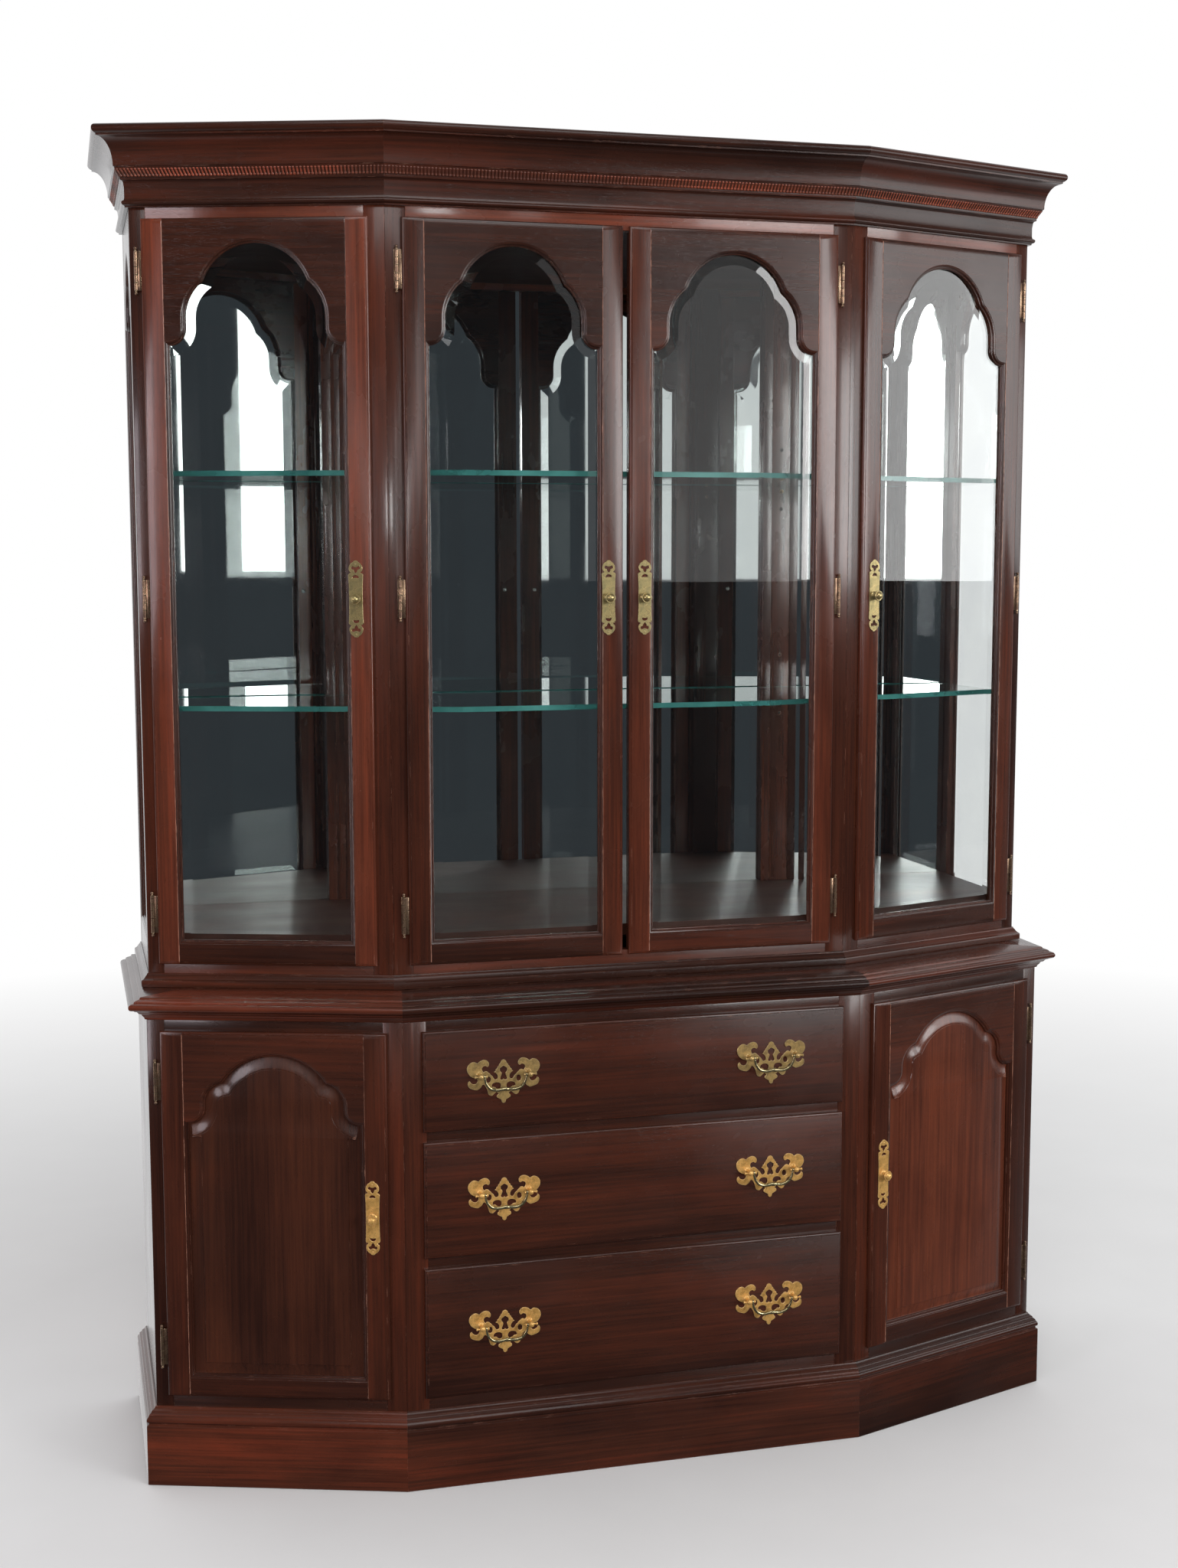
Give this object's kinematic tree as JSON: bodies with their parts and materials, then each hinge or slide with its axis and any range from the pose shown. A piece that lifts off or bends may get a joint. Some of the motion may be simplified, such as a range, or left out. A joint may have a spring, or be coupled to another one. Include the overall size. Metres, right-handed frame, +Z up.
{
  "type": "china cabinet with glass doors",
  "caption": "Two-part china cabinet: canted glazed hutch with arched doors and glass shelves on a buffet base with panelled doors and drawers.",
  "frame": {"origin": "on the floor, at the middle of the bounding box in plan", "axes": "+Z up, front looks along -Y, flat back along +Y, +X to the right seen from the front"},
  "size_m": [1.563, 0.4856, 2.049],
  "materials": {
    "mahogany": "satin lacquer",
    "inner_wood": "satin",
    "back_board": "matt",
    "pull_brass": "polished, aged",
    "old_brass": "antiqued",
    "door_glass": "clear, bevelled",
    "shelf_glass": "clear, green at the edges",
    "mirror_back": "silvered"
  },
  "bodies": {
    "root": {"back_mirror": "mirror_back", "base_back_panel": "back_board", "base_end_left": "mahogany", "base_end_right": "mahogany", "base_face_frame": "mahogany", "base_floor_board": "inner_wood", "base_partition_left": "inner_wood", "base_partition_right": "inner_wood", "buffet_top": "mahogany", "crown_moulding": "mahogany", "glass_shelf_lower": "shelf_glass", "glass_shelf_upper": "shelf_glass", "hutch_back_panel": "back_board", "hutch_end_frame_left": "mahogany", "hutch_end_frame_right": "mahogany", "hutch_end_pane_left": "door_glass", "hutch_end_pane_right": "door_glass", "hutch_face_frame": "mahogany", "hutch_floor_board": "inner_wood", "hutch_top_board": "inner_wood", "plinth": "mahogany", "shelf_post_left": "mahogany", "shelf_post_right": "mahogany", "waist_moulding": "mahogany"},
    "outer_left_door": {"glass_door_outer_left_frame": "mahogany", "glass_door_outer_left_pane": "door_glass", "glass_door_outer_left_knob": "old_brass"},
    "inner_left_door": {"glass_door_inner_left_frame": "mahogany", "glass_door_inner_left_pane": "door_glass", "glass_door_inner_left_knob": "old_brass"},
    "inner_right_door": {"glass_door_inner_right_frame": "mahogany", "glass_door_inner_right_pane": "door_glass", "glass_door_inner_right_knob": "old_brass"},
    "outer_right_door": {"glass_door_outer_right_frame": "mahogany", "glass_door_outer_right_pane": "door_glass", "glass_door_outer_right_knob": "old_brass"},
    "left_cupboard_door": {"panel_door_left_frame": "mahogany", "panel_door_left_panel": "mahogany", "panel_door_left_knob": "pull_brass"},
    "right_cupboard_door": {"panel_door_right_frame": "mahogany", "panel_door_right_panel": "mahogany", "panel_door_right_knob": "pull_brass"},
    "top_drawer": {"drawer_top_front": "mahogany", "drawer_top_box": "inner_wood", "drawer_top_pull_plate_left": "pull_brass", "drawer_top_pull_plate_right": "pull_brass"},
    "top_bail_left": {"drawer_top_bail_left": "pull_brass"},
    "top_bail_right": {"drawer_top_bail_right": "pull_brass"},
    "middle_drawer": {"drawer_middle_front": "mahogany", "drawer_middle_box": "inner_wood", "drawer_middle_pull_plate_left": "pull_brass", "drawer_middle_pull_plate_right": "pull_brass"},
    "middle_bail_left": {"drawer_middle_bail_left": "pull_brass"},
    "middle_bail_right": {"drawer_middle_bail_right": "pull_brass"},
    "bottom_drawer": {"drawer_bottom_front": "mahogany", "drawer_bottom_box": "inner_wood", "drawer_bottom_pull_plate_left": "pull_brass", "drawer_bottom_pull_plate_right": "pull_brass"},
    "bottom_bail_left": {"drawer_bottom_bail_left": "pull_brass"},
    "bottom_bail_right": {"drawer_bottom_bail_right": "pull_brass"}
  },
  "joints": [
    {"name": "outer_left_door_hinge", "type": "hinge", "parent": "root", "child": "outer_left_door", "pos_m": [-0.72165, -0.02535, 1.361], "axis": [0, 0, -1], "range_deg": [0, 105]},
    {"name": "inner_left_door_hinge", "type": "hinge", "parent": "root", "child": "inner_left_door", "pos_m": [-0.3517, -0.14275, 1.361], "axis": [0, 0, -1], "range_deg": [0, 105]},
    {"name": "inner_right_door_hinge", "type": "hinge", "parent": "root", "child": "inner_right_door", "pos_m": [0.3517, -0.14275, 1.361], "axis": [0, 0, 1], "range_deg": [0, 105]},
    {"name": "outer_right_door_hinge", "type": "hinge", "parent": "root", "child": "outer_right_door", "pos_m": [0.72165, -0.02535, 1.361], "axis": [0, 0, 1], "range_deg": [0, 105]},
    {"name": "left_cupboard_door_hinge", "type": "hinge", "parent": "root", "child": "left_cupboard_door", "pos_m": [-0.72735, -0.09845, 0.4269], "axis": [0, 0, -1], "range_deg": [0, 105]},
    {"name": "right_cupboard_door_hinge", "type": "hinge", "parent": "root", "child": "right_cupboard_door", "pos_m": [0.72735, -0.09845, 0.4269], "axis": [0, 0, 1], "range_deg": [0, 105]},
    {"name": "top_drawer_slide", "type": "slide", "parent": "root", "child": "top_drawer", "axis": [0, -1, 0], "range_m": [0, 0.33]},
    {"name": "top_bail_left_pivot", "type": "hinge", "parent": "top_drawer", "child": "top_bail_left", "pos_m": [-0.2155, -0.23825, 0.64475], "axis": [-1, 0, 0], "range_deg": [0, 90]},
    {"name": "top_bail_right_pivot", "type": "hinge", "parent": "top_drawer", "child": "top_bail_right", "pos_m": [0.2155, -0.23825, 0.64475], "axis": [-1, 0, 0], "range_deg": [0, 90]},
    {"name": "middle_drawer_slide", "type": "slide", "parent": "root", "child": "middle_drawer", "axis": [0, -1, 0], "range_m": [0, 0.33]},
    {"name": "middle_bail_left_pivot", "type": "hinge", "parent": "middle_drawer", "child": "middle_bail_left", "pos_m": [-0.2155, -0.23825, 0.4605], "axis": [-1, 0, 0], "range_deg": [0, 90]},
    {"name": "middle_bail_right_pivot", "type": "hinge", "parent": "middle_drawer", "child": "middle_bail_right", "pos_m": [0.2155, -0.23825, 0.4605], "axis": [-1, 0, 0], "range_deg": [0, 90]},
    {"name": "bottom_drawer_slide", "type": "slide", "parent": "root", "child": "bottom_drawer", "axis": [0, -1, 0], "range_m": [0, 0.33]},
    {"name": "bottom_bail_left_pivot", "type": "hinge", "parent": "bottom_drawer", "child": "bottom_bail_left", "pos_m": [-0.2155, -0.23825, 0.2505], "axis": [-1, 0, 0], "range_deg": [0, 90]},
    {"name": "bottom_bail_right_pivot", "type": "hinge", "parent": "bottom_drawer", "child": "bottom_bail_right", "pos_m": [0.2155, -0.23825, 0.2505], "axis": [-1, 0, 0], "range_deg": [0, 90]}
  ]
}
